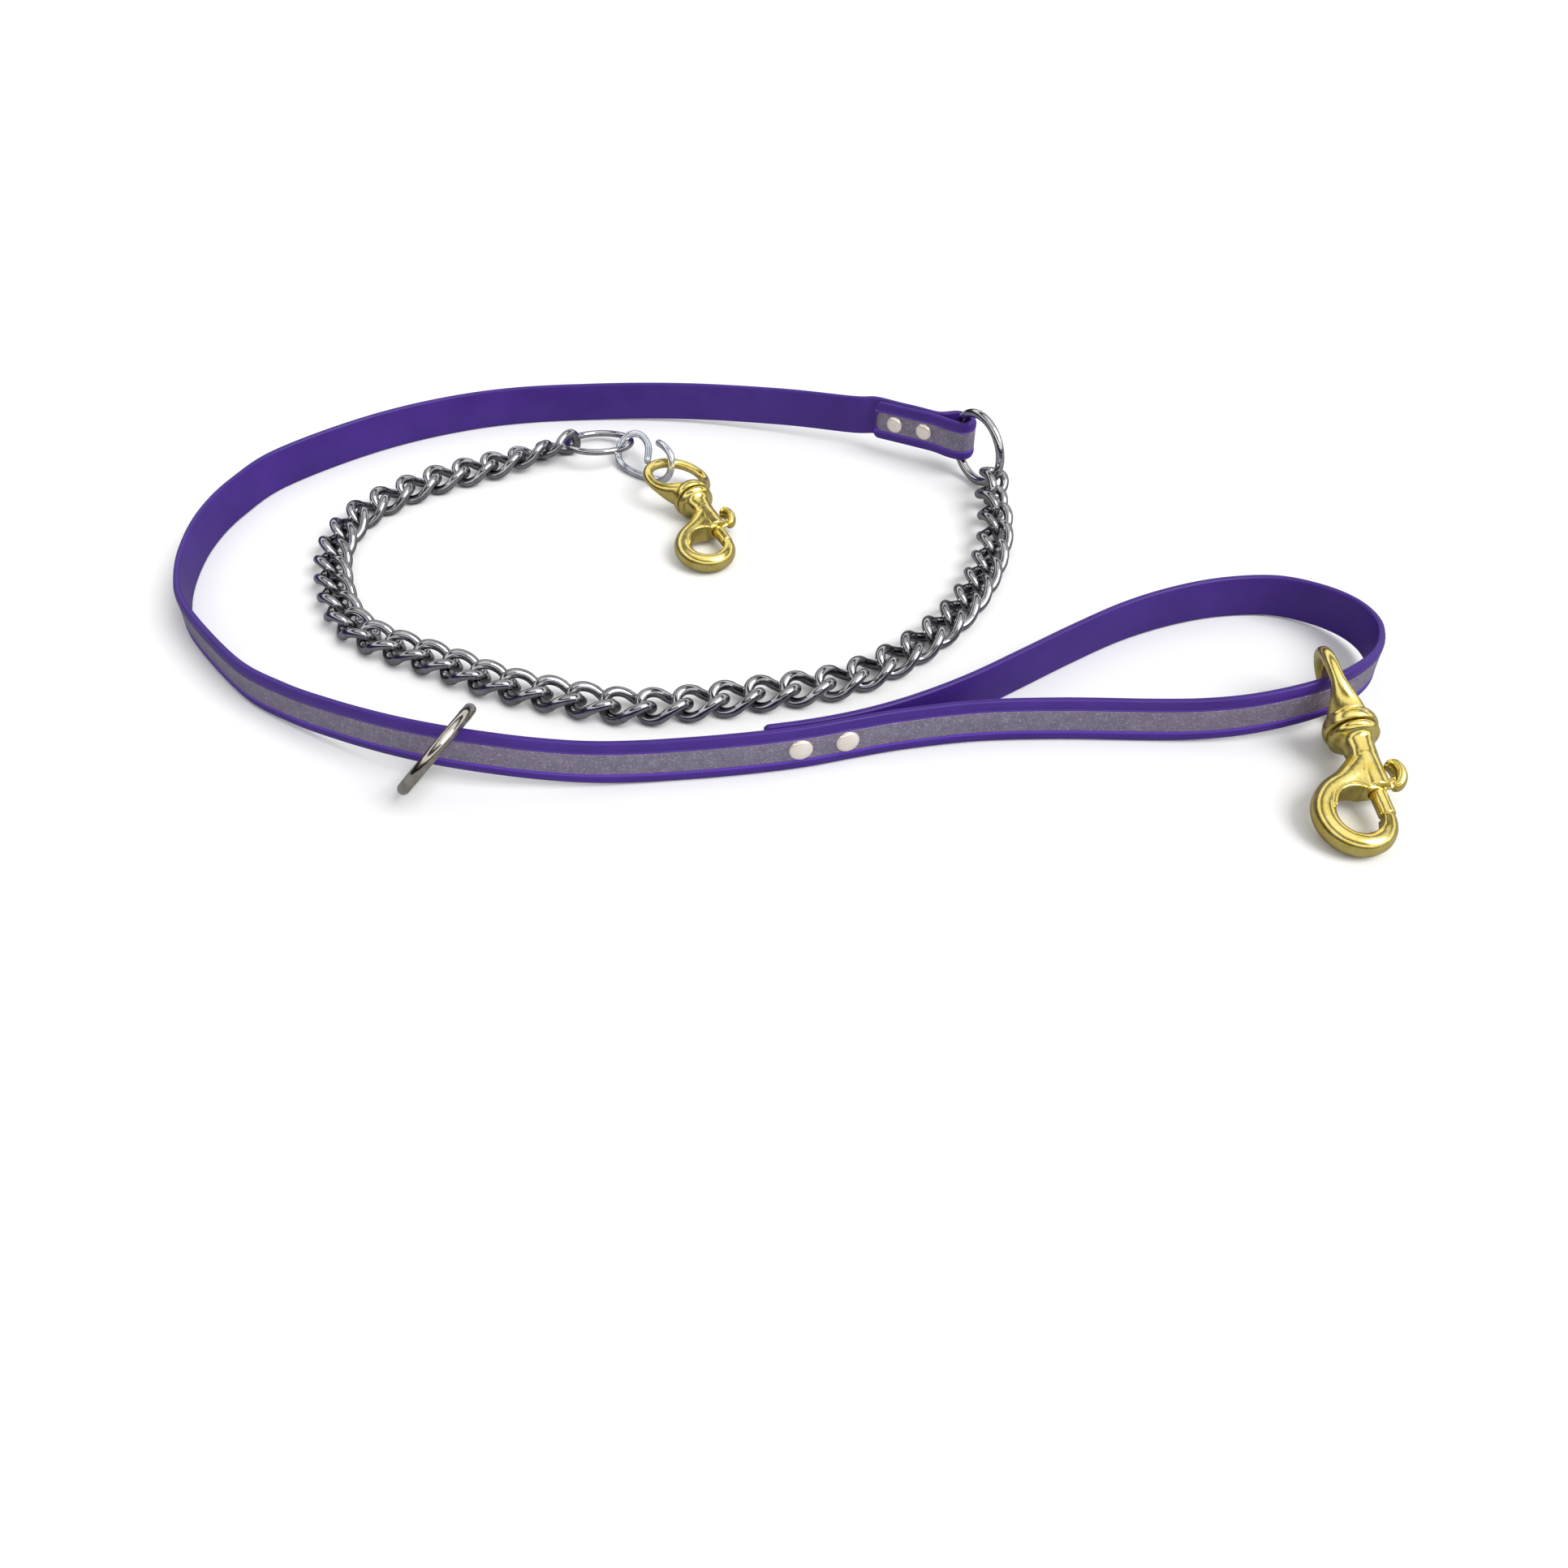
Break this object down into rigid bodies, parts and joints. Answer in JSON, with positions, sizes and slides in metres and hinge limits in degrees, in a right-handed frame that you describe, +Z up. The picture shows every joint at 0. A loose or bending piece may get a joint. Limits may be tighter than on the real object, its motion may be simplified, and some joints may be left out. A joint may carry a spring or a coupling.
{
  "type": "training leash",
  "caption": "Coated webbing lead with a reflective band, riveted handle loop, curb chain, sliding ring, open wire hook and swivel bolt snaps.",
  "frame": {"origin": "middle of the leash's footprint, on the table", "axes": "+Z up from the table; +Y from the riveted handle end to the ring fold; +X from the strap's bend to the handle loop"},
  "size_m": [0.4918, 0.3148, 0.0366],
  "materials": {
    "webbing": "purple coated webbing, welded glossy borders",
    "reflective_band": "grey glass-bead reflective film",
    "rivet_nickel": "nickel-plated, polished",
    "nickel_ring": "nickel-plated wire, polished",
    "chrome_ring": "chromed welded wire, polished",
    "chrome_chain": "chromed welded curb links, polished",
    "zinc_wire": "bright zinc-plated bent wire",
    "brass_snap": "brass-plated casting, polished",
    "spring_steel": "drawn spring wire"
  },
  "bodies": {
    "webbing": {"strap": "webbing", "reflective_stripe": "reflective_band", "end_rivet_1": "rivet_nickel", "end_rivet_2": "rivet_nickel", "handle_rivet_1": "rivet_nickel", "handle_rivet_2": "rivet_nickel"},
    "end_ring": {"end_ring": "chrome_ring"},
    "link_01": {"chain_link_01": "chrome_chain"},
    "link_02": {"chain_link_02": "chrome_chain"},
    "link_03": {"chain_link_03": "chrome_chain"},
    "link_04": {"chain_link_04": "chrome_chain"},
    "link_05": {"chain_link_05": "chrome_chain"},
    "link_06": {"chain_link_06": "chrome_chain"},
    "link_07": {"chain_link_07": "chrome_chain"},
    "link_08": {"chain_link_08": "chrome_chain"},
    "link_09": {"chain_link_09": "chrome_chain"},
    "link_10": {"chain_link_10": "chrome_chain"},
    "link_11": {"chain_link_11": "chrome_chain"},
    "link_12": {"chain_link_12": "chrome_chain"},
    "link_13": {"chain_link_13": "chrome_chain"},
    "link_14": {"chain_link_14": "chrome_chain"},
    "link_15": {"chain_link_15": "chrome_chain"},
    "link_16": {"chain_link_16": "chrome_chain"},
    "link_17": {"chain_link_17": "chrome_chain"},
    "link_18": {"chain_link_18": "chrome_chain"},
    "link_19": {"chain_link_19": "chrome_chain"},
    "link_20": {"chain_link_20": "chrome_chain"},
    "link_21": {"chain_link_21": "chrome_chain"},
    "link_22": {"chain_link_22": "chrome_chain"},
    "link_23": {"chain_link_23": "chrome_chain"},
    "link_24": {"chain_link_24": "chrome_chain"},
    "link_25": {"chain_link_25": "chrome_chain"},
    "link_26": {"chain_link_26": "chrome_chain"},
    "link_27": {"chain_link_27": "chrome_chain"},
    "link_28": {"chain_link_28": "chrome_chain"},
    "link_29": {"chain_link_29": "chrome_chain"},
    "link_30": {"chain_link_30": "chrome_chain"},
    "link_31": {"chain_link_31": "chrome_chain"},
    "link_32": {"chain_link_32": "chrome_chain"},
    "link_33": {"chain_link_33": "chrome_chain"},
    "link_34": {"chain_link_34": "chrome_chain"},
    "link_35": {"chain_link_35": "chrome_chain"},
    "link_36": {"chain_link_36": "chrome_chain"},
    "link_37": {"chain_link_37": "chrome_chain"},
    "link_38": {"chain_link_38": "chrome_chain"},
    "link_39": {"chain_link_39": "chrome_chain"},
    "link_40": {"chain_link_40": "chrome_chain"},
    "link_41": {"chain_link_41": "chrome_chain"},
    "link_42": {"chain_link_42": "chrome_chain"},
    "chain_ring": {"chain_end_ring": "chrome_ring"},
    "open_hook": {"s_hook": "zinc_wire"},
    "small_eye": {"small_snap_eye": "brass_snap"},
    "large_eye": {"large_snap_eye": "brass_snap"},
    "large_snap": {"large_snap_body": "brass_snap", "large_snap_spring": "spring_steel"},
    "large_bolt": {"large_snap_bolt": "brass_snap"},
    "small_snap": {"small_snap_body": "brass_snap", "small_snap_spring": "spring_steel"},
    "small_bolt": {"small_snap_bolt": "brass_snap"},
    "floating_ring": {"floating_ring": "nickel_ring"}
  },
  "joints": [
    {"name": "end_ring_swing", "type": "hinge", "parent": "webbing", "child": "end_ring", "pos_m": [0.09417, 0.10533, 0.0186], "axis": [0, 0, 1], "range_deg": [-4, 8]},
    {"name": "link_01_swing", "type": "hinge", "parent": "end_ring", "child": "link_01", "pos_m": [0.10967, 0.08349, 0.0098], "axis": [-0.9613, 0.2756, 0], "range_deg": [0, 7]},
    {"name": "link_02_swing", "type": "hinge", "parent": "link_01", "child": "link_02", "pos_m": [0.10638, 0.06994, 0.0085], "axis": [0.9397, -0.342, 0], "range_deg": [-7, 0]},
    {"name": "link_03_swing", "type": "hinge", "parent": "link_02", "child": "link_03", "pos_m": [0.10677, 0.05598, 0.00765], "axis": [-0.9135, 0.4067, 0], "range_deg": [0, 7]},
    {"name": "link_04_swing", "type": "hinge", "parent": "link_03", "child": "link_04", "pos_m": [0.10602, 0.04204, 0.00653], "axis": [0.8829, -0.4695, 0], "range_deg": [-7, 0]},
    {"name": "link_05_swing", "type": "hinge", "parent": "link_04", "child": "link_05", "pos_m": [0.10316, 0.02837, 0.00555], "axis": [-0.848, 0.5299, 0], "range_deg": [0, 7]},
    {"name": "link_06_swing", "type": "hinge", "parent": "link_05", "child": "link_06", "pos_m": [0.0992, 0.01495, 0.00515], "axis": [0.809, -0.5878, 0], "range_deg": [-7, 0]},
    {"name": "link_07_swing", "type": "hinge", "parent": "link_06", "child": "link_07", "pos_m": [0.09409, 0.00192, 0.00507], "axis": [-0.766, 0.6428, 0], "range_deg": [0, 7]},
    {"name": "link_08_swing", "type": "hinge", "parent": "link_07", "child": "link_08", "pos_m": [0.0882, -0.01078, 0.0051], "axis": [0.7193, -0.6947, 0], "range_deg": [-7, 0]},
    {"name": "link_09_swing", "type": "hinge", "parent": "link_08", "child": "link_09", "pos_m": [0.0808, -0.02267, 0.0051], "axis": [-0.6691, 0.7431, 0], "range_deg": [0, 7]},
    {"name": "link_10_swing", "type": "hinge", "parent": "link_09", "child": "link_10", "pos_m": [0.0723, -0.0338, 0.0051], "axis": [0.6157, -0.788, 0], "range_deg": [-7, 0]},
    {"name": "link_11_swing", "type": "hinge", "parent": "link_10", "child": "link_11", "pos_m": [0.06278, -0.04406, 0.0051], "axis": [-0.5299, 0.848, 0], "range_deg": [0, 7]},
    {"name": "link_12_swing", "type": "hinge", "parent": "link_11", "child": "link_12", "pos_m": [0.05217, -0.05319, 0.0051], "axis": [0.4695, -0.8829, 0], "range_deg": [-7, 0]},
    {"name": "link_13_swing", "type": "hinge", "parent": "link_12", "child": "link_13", "pos_m": [0.0404, -0.06077, 0.0051], "axis": [-0.3746, 0.9272, 0], "range_deg": [0, 7]},
    {"name": "link_14_swing", "type": "hinge", "parent": "link_13", "child": "link_14", "pos_m": [0.0276, -0.06644, 0.0051], "axis": [0.2419, -0.9703, 0], "range_deg": [-7, 0]},
    {"name": "link_15_swing", "type": "hinge", "parent": "link_14", "child": "link_15", "pos_m": [0.01396, -0.06961, 0.0051], "axis": [-0.1736, 0.9848, 0], "range_deg": [0, 7]},
    {"name": "link_16_swing", "type": "hinge", "parent": "link_15", "child": "link_16", "pos_m": [0.00021, -0.07222, 0.0051], "axis": [0.0698, -0.9976, 0], "range_deg": [-7, 0]},
    {"name": "link_17_swing", "type": "hinge", "parent": "link_16", "child": "link_17", "pos_m": [-0.0134, -0.07553, 0.0051], "axis": [0.0349, 0.9994, 0], "range_deg": [0, 7]},
    {"name": "link_18_swing", "type": "hinge", "parent": "link_17", "child": "link_18", "pos_m": [-0.02715, -0.07811, 0.0051], "axis": [-0.1736, -0.9848, 0], "range_deg": [-7, 0]},
    {"name": "link_19_swing", "type": "hinge", "parent": "link_18", "child": "link_19", "pos_m": [-0.04107, -0.07965, 0.0051], "axis": [0.309, 0.9511, 0], "range_deg": [0, 7]},
    {"name": "link_20_swing", "type": "hinge", "parent": "link_19", "child": "link_20", "pos_m": [-0.05504, -0.07865, 0.0051], "axis": [-0.4067, -0.9135, 0], "range_deg": [-7, 0]},
    {"name": "link_21_swing", "type": "hinge", "parent": "link_20", "child": "link_21", "pos_m": [-0.06856, -0.07503, 0.0051], "axis": [0.5299, 0.848, 0], "range_deg": [0, 7]},
    {"name": "link_22_swing", "type": "hinge", "parent": "link_21", "child": "link_22", "pos_m": [-0.08199, -0.07107, 0.0051], "axis": [-0.6157, -0.788, 0], "range_deg": [-7, 0]},
    {"name": "link_23_swing", "type": "hinge", "parent": "link_22", "child": "link_23", "pos_m": [-0.0953, -0.06672, 0.0051], "axis": [0.6947, 0.7193, 0], "range_deg": [0, 7]},
    {"name": "link_24_swing", "type": "hinge", "parent": "link_23", "child": "link_24", "pos_m": [-0.10801, -0.06087, 0.0051], "axis": [-0.788, -0.6157, 0], "range_deg": [-7, 0]},
    {"name": "link_25_swing", "type": "hinge", "parent": "link_24", "child": "link_25", "pos_m": [-0.12013, -0.05385, 0.0051], "axis": [0.848, 0.5299, 0], "range_deg": [0, 7]},
    {"name": "link_26_swing", "type": "hinge", "parent": "link_25", "child": "link_26", "pos_m": [-0.13271, -0.04772, 0.0051], "axis": [-0.8829, -0.4695, 0], "range_deg": [-7, 0]},
    {"name": "link_27_swing", "type": "hinge", "parent": "link_26", "child": "link_27", "pos_m": [-0.14533, -0.04165, 0.0051], "axis": [0.9135, 0.4067, 0], "range_deg": [0, 7]},
    {"name": "link_28_swing", "type": "hinge", "parent": "link_27", "child": "link_28", "pos_m": [-0.15742, -0.03459, 0.0051], "axis": [-0.9511, -0.309, 0], "range_deg": [-7, 0]},
    {"name": "link_29_swing", "type": "hinge", "parent": "link_28", "child": "link_29", "pos_m": [-0.1674, -0.02477, 0.0051], "axis": [0.9703, 0.2419, 0], "range_deg": [0, 7]},
    {"name": "link_30_swing", "type": "hinge", "parent": "link_29", "child": "link_30", "pos_m": [-0.17407, -0.01246, 0.0051], "axis": [-0.9848, -0.1736, 0], "range_deg": [-7, 0]},
    {"name": "link_31_swing", "type": "hinge", "parent": "link_30", "child": "link_31", "pos_m": [-0.17912, 0.00059, 0.0051], "axis": [0.9976, 0.0698, 0], "range_deg": [0, 7]},
    {"name": "link_32_swing", "type": "hinge", "parent": "link_31", "child": "link_32", "pos_m": [-0.18316, 0.014, 0.0051], "axis": [-1, 0, 0], "range_deg": [-7, 0]},
    {"name": "link_33_swing", "type": "hinge", "parent": "link_32", "child": "link_33", "pos_m": [-0.18572, 0.02776, 0.0051], "axis": [0.9945, -0.1045, 0], "range_deg": [0, 7]},
    {"name": "link_34_swing", "type": "hinge", "parent": "link_33", "child": "link_34", "pos_m": [-0.18499, 0.04174, 0.0051], "axis": [-0.9703, 0.2419, 0], "range_deg": [-7, 0]},
    {"name": "link_35_swing", "type": "hinge", "parent": "link_34", "child": "link_35", "pos_m": [-0.18146, 0.05529, 0.0051], "axis": [0.829, -0.5592, 0], "range_deg": [0, 7]},
    {"name": "link_36_swing", "type": "hinge", "parent": "link_35", "child": "link_36", "pos_m": [-0.17372, 0.06696, 0.0051], "axis": [-0.7193, 0.6947, 0], "range_deg": [-7, 0]},
    {"name": "link_37_swing", "type": "hinge", "parent": "link_36", "child": "link_37", "pos_m": [-0.16406, 0.07709, 0.0051], "axis": [0.6428, -0.766, 0], "range_deg": [0, 7]},
    {"name": "link_38_swing", "type": "hinge", "parent": "link_37", "child": "link_38", "pos_m": [-0.15331, 0.08606, 0.0051], "axis": [-0.5, 0.866, 0], "range_deg": [-7, 0]},
    {"name": "link_39_swing", "type": "hinge", "parent": "link_38", "child": "link_39", "pos_m": [-0.14111, 0.09292, 0.00504], "axis": [0.4384, -0.8988, 0], "range_deg": [0, 7]},
    {"name": "link_40_swing", "type": "hinge", "parent": "link_39", "child": "link_40", "pos_m": [-0.12862, 0.09925, 0.00513], "axis": [-0.4695, 0.8829, 0], "range_deg": [-7, 0]},
    {"name": "link_41_swing", "type": "hinge", "parent": "link_40", "child": "link_41", "pos_m": [-0.11632, 0.10592, 0.00565], "axis": [0.4695, -0.8829, 0], "range_deg": [0, 7]},
    {"name": "link_42_swing", "type": "hinge", "parent": "link_41", "child": "link_42", "pos_m": [-0.10398, 0.11247, 0.00647], "axis": [-0.4384, 0.8988, 0], "range_deg": [-7, 0]},
    {"name": "chain_ring_swing", "type": "hinge", "parent": "link_42", "child": "chain_ring", "pos_m": [-0.09151, 0.11875, 0.00759], "axis": [-0.0349, -0.9994, 0], "range_deg": [0, 10]},
    {"name": "open_hook_swing", "type": "hinge", "parent": "chain_ring", "child": "open_hook", "pos_m": [-0.06283, 0.11849, 0.0086], "axis": [0.8829, 0.4695, 0], "range_deg": [-10, 0]},
    {"name": "small_eye_swing", "type": "hinge", "parent": "open_hook", "child": "small_eye", "pos_m": [-0.04293, 0.08979, 0.011], "axis": [-0.8988, -0.4384, 0], "range_deg": [0, 12]},
    {"name": "large_eye_swing", "type": "hinge", "parent": "webbing", "child": "large_eye", "pos_m": [0.21703, -0.08427, 0.01569], "axis": [0.8767, 0.481, 0], "range_deg": [0, 45]},
    {"name": "large_swivel", "type": "hinge", "parent": "large_eye", "child": "large_snap", "pos_m": [0.21677, -0.08381, 0.0162], "axis": [-0.0826, 0.9834, 0.1616], "continuous": true},
    {"name": "large_bolt_slide", "type": "slide", "parent": "large_snap", "child": "large_bolt", "axis": [-0.0826, 0.9834, 0.1616], "range_m": [0, 0.009], "stiffness_N_per_m": 350, "springref_m": -0.004, "deforming": ["large_snap_spring"]},
    {"name": "small_swivel", "type": "hinge", "parent": "small_eye", "child": "small_snap", "pos_m": [-0.03823, 0.07939, 0.0102], "axis": [-0.475, 0.8749, 0.0941], "continuous": true},
    {"name": "small_bolt_slide", "type": "slide", "parent": "small_snap", "child": "small_bolt", "axis": [-0.475, 0.8749, 0.0941], "range_m": [0, 0.008], "stiffness_N_per_m": 300, "springref_m": -0.004, "deforming": ["small_snap_spring"]},
    {"name": "floating_ring_slide", "type": "slide", "parent": "webbing", "child": "floating_ring", "axis": [0.9711, -0.2386, -0.0116], "range_m": [-0.008, 0.012]}
  ]
}
